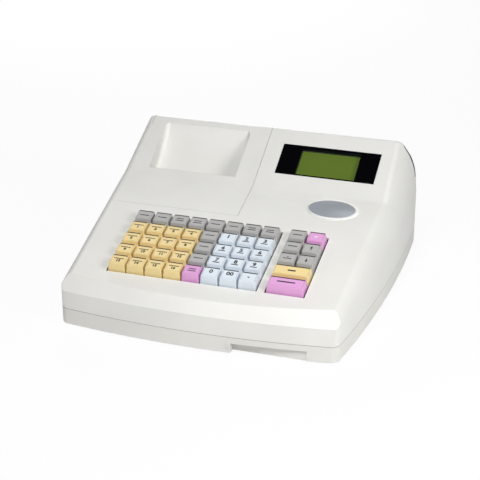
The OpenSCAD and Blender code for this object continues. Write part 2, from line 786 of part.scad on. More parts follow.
module platen_roller() color([0.16, 0.16, 0.17]) {
    translate([0, bay_y + platen_y, platen_z]) rotate([0, 90, 0]) {
        translate([0, 0, frame_x0 + 2.4]) cylinder(r = platen_r, h = frame_x1 - frame_x0 - 4.8);
        translate([0, 0, frame_x0 - 7]) cylinder(r = shaft_r, h = frame_x1 - frame_x0 + 8);
        // drive wheel on the left end
        translate([0, 0, frame_x0 - 6]) difference() {
            cylinder(r = wheel_r, h = 4);
            for (i = [0:17]) rotate([0, 0, i * 20]) translate([wheel_r, 0, -1]) cylinder(r = 0.5, h = 6, $fn = 24);
        }
    }
}

badge_x = 92.5;
badge_back = 23;
module badge() color([0.72, 0.73, 0.75]) {
    on_deck() translate([badge_x, -badge_back / cos(deck_tilt), 0]) difference() {
        scale([1, 35 / 54, 1]) cylinder(r = 27, h = 1.2);
        translate([-1.2, 0, 0.7]) scale([1, 28.4 / 48.6, 1]) cylinder(r = 24.3, h = 2);
    }
}

base_tray();
feet();
upper_case();
display_hood();
printer_cover();
display_window();
display_unit();
customer_window();
key_frame();
printer_frame();
platen_roller();
badge();
for (k = KEYS) {
    key_piece(k);
}
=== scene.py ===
import math
import bmesh
import bpy
from mathutils import Matrix, Vector


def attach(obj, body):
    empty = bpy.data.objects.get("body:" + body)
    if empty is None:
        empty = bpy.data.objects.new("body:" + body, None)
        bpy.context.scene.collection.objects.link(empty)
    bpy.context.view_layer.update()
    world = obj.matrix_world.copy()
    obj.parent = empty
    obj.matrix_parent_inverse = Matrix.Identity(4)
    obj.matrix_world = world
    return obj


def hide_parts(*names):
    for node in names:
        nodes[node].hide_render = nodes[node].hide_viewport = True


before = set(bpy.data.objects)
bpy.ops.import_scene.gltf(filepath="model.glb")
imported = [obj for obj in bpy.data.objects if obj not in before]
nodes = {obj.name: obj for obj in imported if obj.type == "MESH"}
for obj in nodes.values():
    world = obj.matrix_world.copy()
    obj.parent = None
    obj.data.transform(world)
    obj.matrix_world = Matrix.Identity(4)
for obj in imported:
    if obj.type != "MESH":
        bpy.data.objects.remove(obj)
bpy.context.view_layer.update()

mm = 0.001
scene = bpy.context.scene


def spot(*values):
    return Vector(values) * mm


# the two sloping faces of the housing: Y and Z of the bend between them in mm, slopes in degrees
slopeSettings = {
    "bend": (43, 88.3),
    "deck": 12.16,
    "hood": 27,
}


def slopeFrame(degrees):
    # X across, Y up the slope, Z out of it
    bend = Matrix.Translation(spot(0, *slopeSettings["bend"]))
    return bend @ Matrix.Rotation(math.radians(degrees), 4, "X")


deckFrame = slopeFrame(slopeSettings["deck"])
hoodFrame = slopeFrame(slopeSettings["hood"])


# camera, floor and light
cameraSettings = {
    "place": (0.4168, -1.3447, 0.7015),
    "turnDegrees": (65.02, 0, 17.24),
    "lens": 112.5,
    "sensor": 36,
}


def placeCamera():
    data = bpy.data.cameras.new("counterCamera")
    data.lens = cameraSettings["lens"]
    data.sensor_width = cameraSettings["sensor"]
    camera = bpy.data.objects.new("counterCamera", data)
    camera.location = cameraSettings["place"]
    camera.rotation_euler = [math.radians(a) for a in cameraSettings["turnDegrees"]]
    scene.collection.objects.link(camera)
    scene.camera = camera


placeCamera()
scene.view_settings.view_transform = "Standard"
print("camera placed")

lightSettings = {
    "worldStrength": 0.12,
    "lamps": [
        # name, place, size, watts
        ("frontLamp", (0.055, -0.63, 0.95), 0.4, 7.2),
        ("sideLamp", (0.785, -0.366, 0.55), 0.4, 4.3),
        ("backLamp", (-0.55, 1.15, 0.45), 0.8, 8.0),
    ],
    "lampAim": (0, 0, 0.05),
    "floorSize": 9,
    "floorShade": 0.86,
    "floorGlow": 0.92,
}


white = (1, 1, 1, 1)


def lookAt(place, target):
    return (Vector(target) - Vector(place)).to_track_quat("-Z", "Y").to_euler()


def buildWorld():
    # a dim white sky that the camera, and what is seen through glass, sees as white
    world = bpy.data.worlds.new("studioWorld")
    scene.world = world
    world.use_nodes = True
    tree = world.node_tree
    tree.nodes.clear()
    out = tree.nodes.new("ShaderNodeOutputWorld")
    mix = tree.nodes.new("ShaderNodeMixShader")
    skies = []
    for strength in (lightSettings["worldStrength"], 1):
        sky = tree.nodes.new("ShaderNodeBackground")
        sky.inputs["Color"].default_value = white
        sky.inputs["Strength"].default_value = strength
        skies.append(sky)
    path = tree.nodes.new("ShaderNodeLightPath")
    seen = tree.nodes.new("ShaderNodeMath")
    seen.operation = "MAXIMUM"
    tree.links.new(path.outputs["Is Camera Ray"], seen.inputs[0])
    tree.links.new(path.outputs["Is Transmission Ray"], seen.inputs[1])
    tree.links.new(seen.outputs[0], mix.inputs[0])
    for index, sky in enumerate(skies):
        tree.links.new(sky.outputs[0], mix.inputs[index + 1])
    tree.links.new(mix.outputs[0], out.inputs["Surface"])


def buildLamps():
    for name, place, size, watts in lightSettings["lamps"]:
        data = bpy.data.lights.new(name, "AREA")
        data.shape = "DISK"
        data.size = size
        data.energy = watts
        lamp = bpy.data.objects.new(name, data)
        lamp.location = place
        lamp.rotation_euler = lookAt(place, lightSettings["lampAim"])
        scene.collection.objects.link(lamp)


def buildFloor():
    # a pale card that glows for the camera and still takes the shadow
    bm = bmesh.new()
    bmesh.ops.create_grid(bm, x_segments=1, y_segments=1, size=lightSettings["floorSize"])
    mesh = bpy.data.meshes.new("studioFloor")
    bm.to_mesh(mesh)
    bm.free()
    floor = bpy.data.objects.new("studioFloor", mesh)
    scene.collection.objects.link(floor)
    material = bpy.data.materials.new("studioFloor")
    material.use_nodes = True
    tree = material.node_tree
    tree.nodes.clear()
    out = tree.nodes.new("ShaderNodeOutputMaterial")
    mix = tree.nodes.new("ShaderNodeMixShader")
    card = tree.nodes.new("ShaderNodeBsdfDiffuse")
    glow = tree.nodes.new("ShaderNodeEmission")
    path = tree.nodes.new("ShaderNodeLightPath")
    share = tree.nodes.new("ShaderNodeMath")
    share.operation = "MULTIPLY"
    share.inputs[1].default_value = lightSettings["floorGlow"]
    card.inputs["Color"].default_value = [lightSettings["floorShade"]] * 3 + [1]
    glow.inputs["Color"].default_value = white
    glow.inputs["Strength"].default_value = 1
    tree.links.new(path.outputs["Is Camera Ray"], share.inputs[0])
    tree.links.new(share.outputs[0], mix.inputs[0])
    tree.links.new(card.outputs[0], mix.inputs[1])
    tree.links.new(glow.outputs[0], mix.inputs[2])
    tree.links.new(mix.outputs[0], out.inputs["Surface"])
    mesh.materials.append(material)


buildWorld()
buildLamps()
buildFloor()
print("floor and light ready")


# materials
lookSettings = {
    # bumps: height in metres, samples of the rounded edges
    "bumpHeight": 0.0001,
    "edgeSamples": 6,
    # stops between which a pattern goes from dark to light
    "tintStops": (0.3, 0.7),
    # pattern: scale and detail; shades: darkest and lightest share of the colour
    "plastic": {"pattern": (22, 3.0), "grainDetail": 2.0, "shades": (0.975, 1.02), "refraction": 1.49},
    "rubber": {"pattern": (1800, 3.0), "shades": (0.8, 1.25), "rough": (0.68, 0.86), "grain": 0.25},
    "metal": {"brush": (60, 3000, 3000), "detail": 3, "shades": (0.9, 1.06), "grain": 0.08},
    "satin": {"metallic": 0.35},
    "gloss": {"pattern": (40, 4.0), "shades": (0.92, 1.08), "roughSpan": 0.05, "specular": 0.04},
    "pane": {"pattern": (30, 4.0), "rough": (0.04, 0.10), "specular": 0.2},
    # the crystal's glow is painted light that keeps the display's green bright
    "crystal": {"pattern": (60, 2.0), "dots": 1500, "rough": (0.30, 0.42), "glow": 0.12},
}


def newMaterial(name):
    material = bpy.data.materials.new(name)
    material.use_nodes = True
    tree = material.node_tree
    return material, tree, tree.nodes["Principled BSDF"]


def objectPattern(tree, kind, scale, detail=2.0):
    place = tree.nodes.new("ShaderNodeTexCoord")
    pattern = tree.nodes.new(kind)
    pattern.inputs["Scale"].default_value = scale
    if "Detail" in pattern.inputs:
        pattern.inputs["Detail"].default_value = detail
    tree.links.new(place.outputs["Object"], pattern.inputs["Vector"])
    return pattern


def spread(tree, pattern, low, high):
    ramp = tree.nodes.new("ShaderNodeMapRange")
    ramp.inputs["To Min"].default_value = low
    ramp.inputs["To Max"].default_value = high
    tree.links.new(pattern.outputs["Fac"], ramp.inputs["Value"])
    return ramp.outputs[0]


def tint(tree, base, pattern, shades):
    ramp = tree.nodes.new("ShaderNodeValToRGB")
    for stop, position, shade in zip(ramp.color_ramp.elements, lookSettings["tintStops"], shades):
        stop.position = position
        stop.color = [min(1, c * shade) for c in base] + [1]
    tree.links.new(pattern.outputs["Fac"], ramp.inputs[0])
    return ramp.outputs[0]


def bump(tree, shader, pattern, strength, edgeRound=0):
    node = tree.nodes.new("ShaderNodeBump")
    node.inputs["Strength"].default_value = strength
    node.inputs["Distance"].default_value = lookSettings["bumpHeight"]
    tree.links.new(pattern.outputs["Fac"], node.inputs["Height"])
    tree.links.new(node.outputs[0], shader.inputs["Normal"])
    if edgeRound:
        soft = tree.nodes.new("ShaderNodeBevel")
        soft.samples = lookSettings["edgeSamples"]
        soft.inputs["Radius"].default_value = edgeRound * mm
        tree.links.new(soft.outputs[0], node.inputs["Normal"])


plasticSettings = {
    # name: colour, roughness low and high, grain per metre, grain strength, edge round in mm
    "caseIvory": ((0.800, 0.795, 0.760), 0.42, 0.52, 2600, 0.10, 0.6),
    "hoodIvory": ((0.805, 0.800, 0.766), 0.42, 0.52, 2600, 0.10, 0.6),
    "coverIvory": ((0.805, 0.800, 0.766), 0.40, 0.50, 2600, 0.10, 0.5),
    "baseIvory": ((0.770, 0.762, 0.724), 0.45, 0.56, 2600, 0.12, 0.5),
    "keyGrey": ((0.475, 0.470, 0.462), 0.26, 0.34, 3200, 0.05, 0),
    "keyYellow": ((0.890, 0.705, 0.335), 0.30, 0.38, 3200, 0.05, 0),
    "keyBlue": ((0.760, 0.830, 0.900), 0.24, 0.32, 3200, 0.05, 0),
    "keyPink": ((0.780, 0.385, 0.715), 0.30, 0.38, 3200, 0.05, 0),
    # the key frame is near black: its own dark colour, and painted shade in the gaps between the keys
    "keyFrameGrey": ((0.050, 0.048, 0.046), 0.55, 0.68, 2200, 0.15, 0),
    "legendInk": ((0.030, 0.032, 0.040), 0.45, 0.55, 3000, 0.03, 0),
    "legendPale": ((0.800, 0.760, 0.790), 0.45, 0.55, 3000, 0.03, 0),
    # the slot's dark colour is also painted shade of the gap behind each key
    "lidSlitAndShade": ((0.050, 0.045, 0.040), 0.45, 0.55, 3000, 0.03, 0),
    # dark joint line of the key lids, also painted shade round the badge's plate
    "lidJointAndBadgeShade": ((0.400, 0.380, 0.360), 0.45, 0.55, 3000, 0.03, 0),
    "printerBlack": ((0.060, 0.062, 0.066), 0.45, 0.60, 2200, 0.18, 0),
    "bushBlack": ((0.030, 0.030, 0.030), 0.50, 0.60, 2200, 0.18, 0),
}


def plastic(name):
    look = lookSettings["plastic"]
    colour, roughLow, roughHigh, grain, strength, edgeRound = plasticSettings[name]
    material, tree, shader = newMaterial(name)
    cloud = objectPattern(tree, "ShaderNodeTexNoise", *look["pattern"])
    skin = objectPattern(tree, "ShaderNodeTexNoise", grain, look["grainDetail"])
    tree.links.new(tint(tree, colour, cloud, look["shades"]), shader.inputs["Base Color"])
    tree.links.new(spread(tree, skin, roughLow, roughHigh), shader.inputs["Roughness"])
    bump(tree, shader, skin, strength, edgeRound)
    shader.inputs["IOR"].default_value = look["refraction"]
    return material


def rubber(name, colour):
    look = lookSettings["rubber"]
    material, tree, shader = newMaterial(name)
    skin = objectPattern(tree, "ShaderNodeTexNoise", *look["pattern"])
    tree.links.new(tint(tree, colour, skin, look["shades"]), shader.inputs["Base Color"])
    tree.links.new(spread(tree, skin, *look["rough"]), shader.inputs["Roughness"])
    bump(tree, shader, skin, look["grain"])
    return material


def metal(name, colour, roughLow, roughHigh):
    look = lookSettings["metal"]
    material, tree, shader = newMaterial(name)
    place = tree.nodes.new("ShaderNodeTexCoord")
    stretch = tree.nodes.new("ShaderNodeMapping")
    stretch.inputs["Scale"].default_value = look["brush"]
    brush = tree.nodes.new("ShaderNodeTexNoise")
    brush.inputs["Scale"].default_value = 1
    brush.inputs["Detail"].default_value = look["detail"]
    tree.links.new(place.outputs["Object"], stretch.inputs["Vector"])
    tree.links.new(stretch.outputs[0], brush.inputs["Vector"])
    tree.links.new(tint(tree, colour, brush, look["shades"]), shader.inputs["Base Color"])
    tree.links.new(spread(tree, brush, roughLow, roughHigh), shader.inputs["Roughness"])
    shader.inputs["Metallic"].default_value = 1.0
    bump(tree, shader, brush, look["grain"])
    return material


def satin(name, colour, roughLow, roughHigh):
    material = metal(name, colour, roughLow, roughHigh)
    shader = material.node_tree.nodes["Principled BSDF"]
    shader.inputs["Metallic"].default_value = lookSettings["satin"]["metallic"]
    return material


def gloss(name, colour, roughness):
    look = lookSettings["gloss"]
    material, tree, shader = newMaterial(name)
    smear = objectPattern(tree, "ShaderNodeTexNoise", *look["pattern"])
    tree.links.new(tint(tree, colour, smear, look["shades"]), shader.inputs["Base Color"])
    rough = spread(tree, smear, roughness, roughness + look["roughSpan"])
    tree.links.new(rough, shader.inputs["Roughness"])
    shader.inputs["Specular IOR Level"].default_value = look["specular"]
    return material


def clearPane(name, colour, solid):
    look = lookSettings["pane"]
    material, tree, shader = newMaterial(name)
    smear = objectPattern(tree, "ShaderNodeTexNoise", *look["pattern"])
    tree.links.new(spread(tree, smear, *look["rough"]), shader.inputs["Roughness"])
    shader.inputs["Base Color"].default_value = (*colour, 1)
    shader.inputs["Alpha"].default_value = solid
    shader.inputs["Specular IOR Level"].default_value = look["specular"]
    return material


def liquidCrystal(name, dark, light, glow):
    look = lookSettings["crystal"]
    material, tree, shader = newMaterial(name)
    grid = objectPattern(tree, "ShaderNodeTexChecker", look["dots"])
    grid.inputs["Color1"].default_value = (*dark, 1)
    grid.inputs["Color2"].default_value = (*light, 1)
    tree.links.new(grid.outputs["Color"], shader.inputs["Base Color"])
    smear = objectPattern(tree, "ShaderNodeTexNoise", *look["pattern"])
    tree.links.new(spread(tree, smear, *look["rough"]), shader.inputs["Roughness"])
    # painted light: a faint glow in the display's green
    shader.inputs["Emission Color"].default_value = (*glow, 1)
    shader.inputs["Emission Strength"].default_value = look["glow"]
    return material


otherFinishes = {
    # name: maker of the material, colour, roughness or other values
    "footRubber": (rubber, (0.025, 0.025, 0.026)),
    "rollerRubber": (rubber, (0.035, 0.035, 0.038)),
    "badgeRing": (gloss, (0.86, 0.86, 0.85), 0.22),
    "badgePlate": (satin, (0.40, 0.43, 0.47), 0.40, 0.52),
    "printerSteel": (metal, (0.42, 0.43, 0.44), 0.34, 0.48),
    "screwSteel": (metal, (0.55, 0.55, 0.56), 0.28, 0.42),
    "windowBlack": (gloss, (0.0015, 0.0015, 0.0025), 0.10),
    "rearWindow": (gloss, (0.010, 0.010, 0.014), 0.10),
    "clearPane": (clearPane, (0.02, 0.03, 0.02), 0.10),
    # the last colour is the display's painted glow
    "liquidCrystal": (liquidCrystal, (0.138, 0.218, 0.020), (0.150, 0.236, 0.024), (0.14, 0.20, 0.04)),
}
finishes = {name: plastic(name) for name in plasticSettings}
for name, (make, *values) in otherFinishes.items():
    finishes[name] = make(name, *values)

# painted shade along the seam where the case stands on the base, a dark band: level and half width in mm,
# share of colour left
jointShadeSettings = {
    "finishes": ["caseIvory", "baseIvory"],
    "level": 18.0,
    "halfWidth": 0.22,
    "shade": 0.30,
}


def paintJointShade(material):
    s = jointShadeSettings
    tree = material.node_tree
    shader = tree.nodes["Principled BSDF"]
    plain = shader.inputs["Base Color"].links[0].from_socket
    place = tree.nodes.new("ShaderNodeTexCoord")
    axes = tree.nodes.new("ShaderNodeSeparateXYZ")
    near = tree.nodes.new("ShaderNodeMath")
    near.operation = "COMPARE"
    near.inputs[1].default_value = s["level"] * mm
    near.inputs[2].default_value = s["halfWidth"] * mm
    mix = tree.nodes.new("ShaderNodeMixRGB")
    mix.blend_type = "MULTIPLY"
    mix.inputs["Color2"].default_value = [s["shade"]] * 3 + [1]
    tree.links.new(place.outputs["Object"], axes.inputs[0])
    tree.links.new(axes.outputs["Z"], near.inputs[0])
    # darken the colour in a thin band at the seam's level: painted shade of the joint
    tree.links.new(near.outputs[0], mix.inputs["Fac"])
    tree.links.new(plain, mix.inputs["Color1"])
    tree.links.new(mix.outputs[0], shader.inputs["Base Color"])


for name in jointShadeSettings["finishes"]:
    paintJointShade(finishes[name])
print("materials ready:", len(finishes))


# helpers for pieces
meshSettings = {
    # mm
    "mergeWithin": 0.02,
    "shortestEdge": 0.01,
    # degrees
    "flatWithin": 0.35,
    "smoothBelow": 32,
    "roundAbove": 28,
    "normalWeight": 60,
}
bodyOf = {"printer_cover": "cover", "platen_roller": "roller"}


def addPiece(name, bm, finish, body, replaced=()):
    mesh = bpy.data.meshes.new(name)
    bm.to_mesh(mesh)
    bm.free()
    piece = bpy.data.objects.new(name, mesh)
    scene.collection.objects.link(piece)
    for finishName in [finish] if isinstance(finish, str) else finish:
        mesh.materials.append(finishes[finishName])
    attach(piece, body)
    if replaced:
        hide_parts(*replaced)
    return piece


def smoothShade(piece, degrees=meshSettings["smoothBelow"]):
    for face in piece.data.polygons:
        face.use_smooth = True
    bm = bmesh.new()
    bm.from_mesh(piece.data)
    limit = math.radians(degrees)
    for edge in bm.edges:
        edge.smooth = len(edge.link_faces) == 2 and edge.calc_face_angle(3) < limit
    bm.to_mesh(piece.data)
    bm.free()


def evenNormals(piece):
    even = piece.modifiers.new("evenNormals", "WEIGHTED_NORMAL")
    even.keep_sharp = True
    even.weight = meshSettings["normalWeight"]


def roundEdges(piece, width, segments):
    soft = piece.modifiers.new("roundEdges", "BEVEL")
    soft.width = width * mm
    soft.segments = segments
    soft.limit_method = "ANGLE"
    soft.angle_limit = math.radians(meshSettings["roundAbove"])
    soft.harden_normals = True
    soft.use_clamp_overlap = False
    evenNormals(piece)


def mouldedCopy(node, name, finish, edgeRound):
    s = meshSettings
    bm = bmesh.new()
    bm.from_mesh(nodes[node].data)
    bmesh.ops.remove_doubles(bm, verts=bm.verts, dist=s["mergeWithin"] * mm)
    bmesh.ops.dissolve_degenerate(bm, edges=bm.edges, dist=s["shortestEdge"] * mm)
    flat = math.radians(s["flatWithin"])
    bmesh.ops.dissolve_limit(bm, angle_limit=flat, verts=bm.verts, edges=bm.edges)
    piece = addPiece(name, bm, finish, bodyOf.get(node, "housing"), [node])
    smoothShade(piece)
    if edgeRound:
        roundEdges(piece, edgeRound, 3)
    else:
        evenNormals(piece)


def boxInto(bm, x0, x1, y0, y1, z0, z1):
    made = bmesh.ops.create_cube(bm, size=1)["verts"]
    bmesh.ops.scale(bm, verts=made, vec=spot(x1 - x0, y1 - y0, z1 - z0))
    bmesh.ops.translate(bm, verts=made, vec=spot((x0 + x1) / 2, (y0 + y1) / 2, (z0 + z1) / 2))
    return made


# housing
housingSettings = {
    # node: piece name, finish, record slot, edges rounded in the mesh in mm
    "base_tray": ("baseTray", "baseIvory", "base_plastic", 0),
    "upper_case": ("upperCase", "caseIvory", "case_plastic", 0),
    "display_hood": ("displayHood", "hoodIvory", "hood_plastic", 0),
    "printer_cover": ("printerCover", "coverIvory", "cover_plastic", 0),
    "customer_window": ("rearWindow", "rearWindow", "rear_window_acrylic", 0),
    "feet": ("rubberFeet", "footRubber", "foot_rubber", 0.4),
}
for node, (name, finish, slotName, edgeRound) in housingSettings.items():
    mouldedCopy(node, name, finish, edgeRound)
print("housing pieces ready")


# keys
keySettings = {
    "pitch": 19.05,
    # first key from the bend: across and up the deck
    "first": (-90.35, -81.7),
    "sideGap": 9.2,
    # width at the foot, levels above the deck, and how far each side leans in
    "skirt": 18.2,
    "foot": -2,
    "height": 7.5,
    "lean": {"side": 1.0, "front": 2.4, "rear": 1.5},
    "wall": 1.3,
    "lidThick": 1.6,
    "stem": 5,
    "stemFoot": -12.5,
    "stemInto": 0.2,
    "cornerRound": 0.9,
    "innerCorner": 0.63,
    "cornerSteps": 4,
    "topRound": 0.4,
    # inset from the rounded edge and depth of the joint line of the clear lid
    "lidGroove": [(0.35, 0), (0.45, 0.28), (0.78, 0.28), (0.88, 0)],
    # dark strip along the rear edge of the lid: the lid's slot, and painted shade of the gap behind the key
    "slitAndShade": {"long": 14.8, "wide": 1.5, "fromRear": 0.15, "deep": 0.5, "proud": 0.03},
}
rowNames = "abcde"
digitLegends = {"b6": "1", "b7": "2", "b8": "3", "c6": "4", "c7": "5", "c8": "6",
                "d6": "7", "d7": "8", "d8": "9", "e6": "0", "e7": "00", "e8": "."}
twoBarKeys = ["a3", "a4", "a7", "a8", "e5"]
pinkKey = "e5"
sideKeys = [
    # name, steps from the left column, row, width in pitches, finish, kind of legend
    ("a9", 0, 0, 1, "keyGrey", "bar"),
    ("a10", 1, 0, 1, "keyPink", "mark"),
    ("b9", 0, 1, 1, "keyGrey", "bar"),
    ("b10", 1, 1, 1, "keyGrey", "up"),
    ("c9", 0, 2, 1, "keyGrey", "dotBar"),
    ("c10", 1, 2, 1, "keyGrey", "down"),
    ("d9", 0.5, 3, 2, "keyYellow", "shortBar"),
    ("e9", 0.5, 4, 2, "keyPink", "longBar"),
]


def keyRecord(name, x, row, wide, finish, kind, legend=""):
    return {"node": "key_" + name, "name": name, "x": x, "row": row, "wide": wide,
            "finish": finish, "kind": kind, "legend": legend}


def keyList():
    s = keySettings
    made = []
    for row in range(5):
        for column in range(8):
            name = rowNames[row] + str(column + 1)
            x = s["first"][0] + column * s["pitch"]
            if row and column < 4:
                made.append(keyRecord(name, x, row, 1, "keyYellow", "item", str(4 * (row - 1) + column + 1)))
            elif name in digitLegends:
                kind = "dot" if digitLegends[name] == "." else "digit"
                made.append(keyRecord(name, x, row, 1, "keyBlue", kind, digitLegends[name]))
            else:
                finish = "keyPink" if name == pinkKey else "keyGrey"
                kind = "twoBars" if name in twoBarKeys else "bar"
                made.append(keyRecord(name, x, row, 1, finish, kind))
    sideX = s["first"][0] + 8 * s["pitch"] + s["sideGap"]
    for name, step, row, wide, finish, kind in sideKeys:
        made.append(keyRecord(name, sideX + step * s["pitch"], row, wide, finish, kind))
    return made


def keyPlace(key):
    s = keySettings
    return deckFrame @ Matrix.Translation(spot(key["x"], s["first"][1] - key["row"] * s["pitch"], 0))


def roundedRing(bm, x0, x1, y0, y1, rounding, level):
    # a loop with rounded corners, counter-clockwise seen from above
    ring = []
    steps = keySettings["cornerSteps"]
    for cornerX, cornerY, start in ((x1, y1, 0), (x0, y1, 90), (x0, y0, 180), (x1, y0, 270)):
        middleX = cornerX - rounding if cornerX == x1 else cornerX + rounding
        middleY = cornerY - rounding if cornerY == y1 else cornerY + rounding
        for step in range(steps + 1):
            turn = math.radians(start + 90 * step / steps)
            x = middleX + rounding * math.cos(turn)
            y = middleY + rounding * math.sin(turn)
            ring.append(bm.verts.new(spot(x, y, level)))
    return ring


def bridge(bm, low, high):
    made = []
    for i in range(len(low)):
        j = (i + 1) % len(low)
        made.append(bm.faces.new((low[i], low[j], high[j], high[i])))
    return made


def keyOutline(key, inset, level):
    # the skirt narrows towards the top: most at the front, least at the sides
    s = keySettings
    share = (level - s["foot"]) / (s["height"] - s["foot"])
    half = (s["skirt"] + (key["wide"] - 1) * s["pitch"]) / 2 - inset - s["lean"]["side"] * share
    deep = s["skirt"] / 2 - inset
    return -half, half, -deep + s["lean"]["front"] * share, deep - s["lean"]["rear"] * share


def capRings(bm, key):
    # from the foot over the rounded edge and the lid's joint line to the top
    s = keySettings
    soft = s["topRound"]
    rings = [roundedRing(bm, *keyOutline(key, 0, s["foot"]), s["cornerRound"], s["foot"])]
    for turn in (0, 30, 60, 90):
        lift = soft * (1 - math.sin(math.radians(turn)))
        inset = soft * (1 - math.cos(math.radians(turn)))
        outline = keyOutline(key, inset, s["height"] - soft)
        rings.append(roundedRing(bm, *outline, s["cornerRound"], s["height"] - lift))
    for inset, depth in s["lidGroove"]:
        outline = keyOutline(key, soft + inset, s["height"] - soft)
        rings.append(roundedRing(bm, *outline, s["innerCorner"], s["height"] - depth))
    return rings


def buildKeycap(key):
    s = keySettings
    bm = bmesh.new()
    rings = capRings(bm, key)
    for low, high in zip(rings, rings[1:]):
        made = bridge(bm, low, high)
        if high is rings[-2]:
            for face in made:
                face.material_index = 2
    bm.faces.new(rings[-1])
    # hollow below, with the stem in it
    inner = [roundedRing(bm, *keyOutline(key, s["wall"], level), s["innerCorner"], level)
             for level in (s["foot"], s["height"] - s["lidThick"])]
    bridge(bm, inner[0], rings[0])
    bridge(bm, inner[1], inner[0])
    bm.faces.new(list(reversed(inner[1])))
    stem = s["stem"] / 2
    stemTop = s["height"] - s["lidThick"] + s["stemInto"]
    boxInto(bm, -stem, stem, -stem, stem, s["stemFoot"], stemTop)
    slitAndShade = s["slitAndShade"]
    half = (slitAndShade["long"] + (key["wide"] - 1) * s["pitch"]) / 2
    rear = keyOutline(key, 0, s["height"])[3] - slitAndShade["fromRear"]
    made = boxInto(bm, -half, half, rear - slitAndShade["wide"], rear,
                   s["height"] - slitAndShade["deep"], s["height"] + slitAndShade["proud"])
    # the strip takes the dark finish: the lid's slot and painted shade of the gap behind the key
    for face in {f for v in made for f in v.link_faces}:
        face.material_index = 1
    bmesh.ops.transform(bm, matrix=keyPlace(key), verts=bm.verts)
    piece = addPiece("keycap_" + key["name"], bm, [key["finish"], "lidSlitAndShade", "lidJointAndBadgeShade"],
                     key["node"] + "_body", [key["node"]])
    smoothShade(piece, 35)
    evenNormals(piece)


legendSettings = {
    # kind of legend: bars as centre x, centre y, length and width in mm
    "bar": [(0, 0.8, 9.6, 1.2)],
    "twoBars": [(0, 2.2, 7.6, 1.2), (0, -0.9, 8.6, 1.2)],
    "dotBar": [(0, 2.4, 1.8, 1.0), (0, -0.3, 8.4, 1.2)],
    "shortBar": [(0, 0.8, 7.8, 2.0)],
    "longBar": [(-0.5, 1.6, 18.0, 1.8)],
    "mark": [(0, 1.0, 3.6, 1.8)],
    "dot": [(0, 1.0, 1.7, 1.7)],
    "item": [(0, 2.7, 10.4, 1.1)],
    # numbers: height and centre y
    "itemNumber": (3.2, -0.7),
    "digit": (5.0, 2.1),
    "digitBar": (0, -1.9, 7.0, 1.3),
    "barredDigits": "23456789",
    "arrow": {"at": 0.6, "shaft": (-0.8, 0.9, 3.2), "head": (1.5, 1.9)},
    "shift": -0.8,
    "thick": 0.06,
    "boldness": 0.3,
    # height of a capital as a share of the font's size, and steps of its curves
    "capShare": 0.7,
    "curveSteps": 3,
}


def textInto(bm, words, high, y):
    s = legendSettings
    curve = bpy.data.curves.new("legend", "FONT")
    curve.body = words
    curve.size = high * mm / s["capShare"]
    curve.align_x = "CENTER"
    curve.align_y = "CENTER"
    curve.extrude = s["thick"] * mm / 2
    curve.offset = s["boldness"] * mm
    curve.resolution_u = s["curveSteps"]
    holder = bpy.data.objects.new("legend", curve)
    scene.collection.objects.link(holder)
    graph = bpy.context.evaluated_depsgraph_get()
    made = bpy.data.meshes.new_from_object(holder.evaluated_get(graph))
    bpy.data.objects.remove(holder)
    start = len(bm.verts)
    bm.from_mesh(made)
    bm.verts.ensure_lookup_table()
    level = keySettings["height"] + s["thick"] / 2
    bmesh.ops.translate(bm, verts=bm.verts[start:], vec=spot(0, y, level))
    bpy.data.meshes.remove(made)


def barInto(bm, x, y, long, wide):
    low = keySettings["height"]
    high = low + legendSettings["thick"]
    boxInto(bm, x - long / 2, x + long / 2, y - wide / 2, y + wide / 2, low, high)


def arrowInto(bm, up):
    thick = legendSettings["thick"]
    arrow = legendSettings["arrow"]
    shaftY, shaftWide, shaftLong = arrow["shaft"]
    headY, radius = arrow["head"]
    barInto(bm, 0, arrow["at"] + shaftY * up, shaftWide, shaftLong)
    tip = bmesh.ops.create_cone(bm, cap_ends=True, segments=3, radius1=radius * mm, radius2=radius * mm,
                                depth=thick * mm)["verts"]
    turn = 0 if up > 0 else math.pi
    bmesh.ops.rotate(bm, verts=tip, matrix=Matrix.Rotation(turn, 3, "Z"))
    place = spot(0, arrow["at"] + headY * up, keySettings["height"] + thick / 2)
    bmesh.ops.translate(bm, verts=tip, vec=place)


def buildLegend(key):
    bm = bmesh.new()
    s = legendSettings
    kind = key["kind"]
    if kind in ("up", "down"):
        arrowInto(bm, 1 if kind == "up" else -1)
    elif kind == "digit":
        textInto(bm, key["legend"], *s["digit"])
        if key["legend"] in s["barredDigits"]:
            barInto(bm, *s["digitBar"])
    else:
        for bar in s[kind]:
            barInto(bm, *bar)
        if kind == "item":
            textInto(bm, key["legend"], *s["itemNumber"])
    place = keyPlace(key) @ Matrix.Translation(spot(0, s["shift"], 0))
    bmesh.ops.transform(bm, matrix=place, verts=bm.verts)
    finish = "legendPale" if kind == "mark" else "legendInk"
    addPiece("legend_" + key["name"], bm, finish, key["node"] + "_body")


for key in keyList():
    buildKeycap(key)
    buildLegend(key)
print("keys ready")


# display
displaySettings = {
    # left, right, low and high edge on the hood's slope
    "window": (17.95, 124.15, 22.75, 64.65),
    "opening": (39.3, 103.0, 24.6, 60.8),
    "flange": 1.3,
    # levels out of the slope
    "faceLevel": -0.7,
    "flangeLevels": (-4.0, -2.52),
    "flangeGap": 0.02,
    "paneLevels": (-1.9, -0.8),
    "glassLevels": (-6.4, -5.45),
    # how far the glass reaches under the border: sides, ends
    "glassUnder": (0.8, 0.7),
    "borderRound": 0.15,
}


